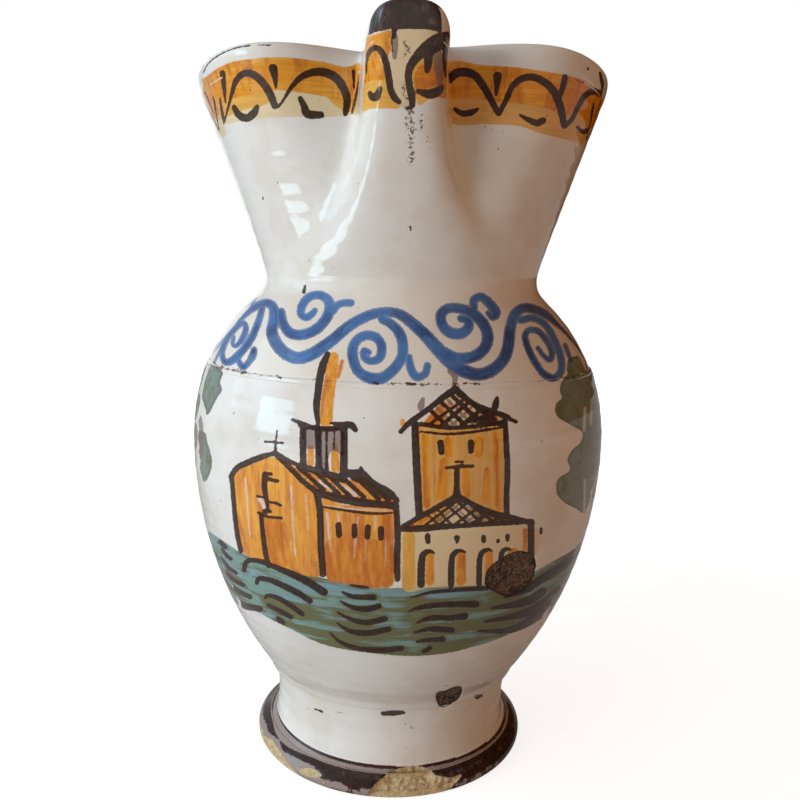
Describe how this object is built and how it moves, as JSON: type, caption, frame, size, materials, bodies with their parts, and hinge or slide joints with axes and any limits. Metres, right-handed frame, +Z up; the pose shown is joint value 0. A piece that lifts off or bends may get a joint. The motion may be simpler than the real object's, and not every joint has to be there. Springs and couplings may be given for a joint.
{
  "type": "pouring jug",
  "caption": "Tin-glazed earthenware pouring jug with a narrow pinched beak, painted bands and a landscape, a spread foot and a strap handle behind.",
  "frame": {"origin": "on the ground, at the centre of the foot, on the axis that the jug was turned on", "axes": "+Z up, -Y out of the beak, +Y towards the handle, +X to the right when the beak faces the viewer"},
  "size_m": [0.1706, 0.2223, 0.2774],
  "materials": {
    "tin_glaze": "glossy warm white tin glaze with painted decoration under it"
  },
  "bodies": {
    "root": {"foot_ring": "tin_glaze", "belly": "tin_glaze", "shoulder": "tin_glaze", "neck_spout": "tin_glaze", "rim_lip": "tin_glaze", "strap_handle": "tin_glaze"}
  },
  "joints": []
}
